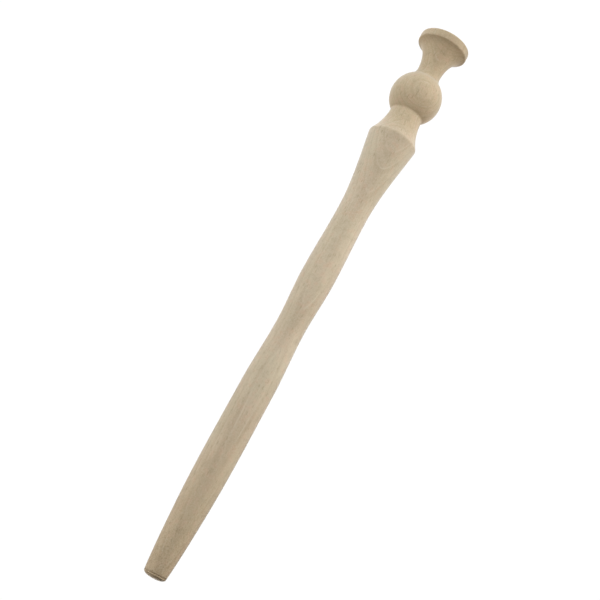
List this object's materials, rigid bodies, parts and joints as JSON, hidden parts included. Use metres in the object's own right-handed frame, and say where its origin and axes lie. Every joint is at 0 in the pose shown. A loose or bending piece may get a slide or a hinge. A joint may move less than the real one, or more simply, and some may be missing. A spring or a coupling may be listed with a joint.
{
  "type": "muddler",
  "caption": "Slender one-piece turned beech stick for pressing fruit and herbs in a glass: flat disc end, ball and collar, waved shaft and domed narrow tip.",
  "frame": {"origin": "centre of the flat pressing face of the wide disc, which the stick stands on", "axes": "+Z along the turning axis, from the disc to the narrow tip; X and Y across it, with nothing to tell them apart"},
  "size_m": [0.0264, 0.0264, 0.3],
  "materials": {
    "sanded_beech": "turned and fine-sanded, no varnish or oil"
  },
  "bodies": {
    "root": {"turned_stick": "sanded_beech"}
  },
  "joints": []
}
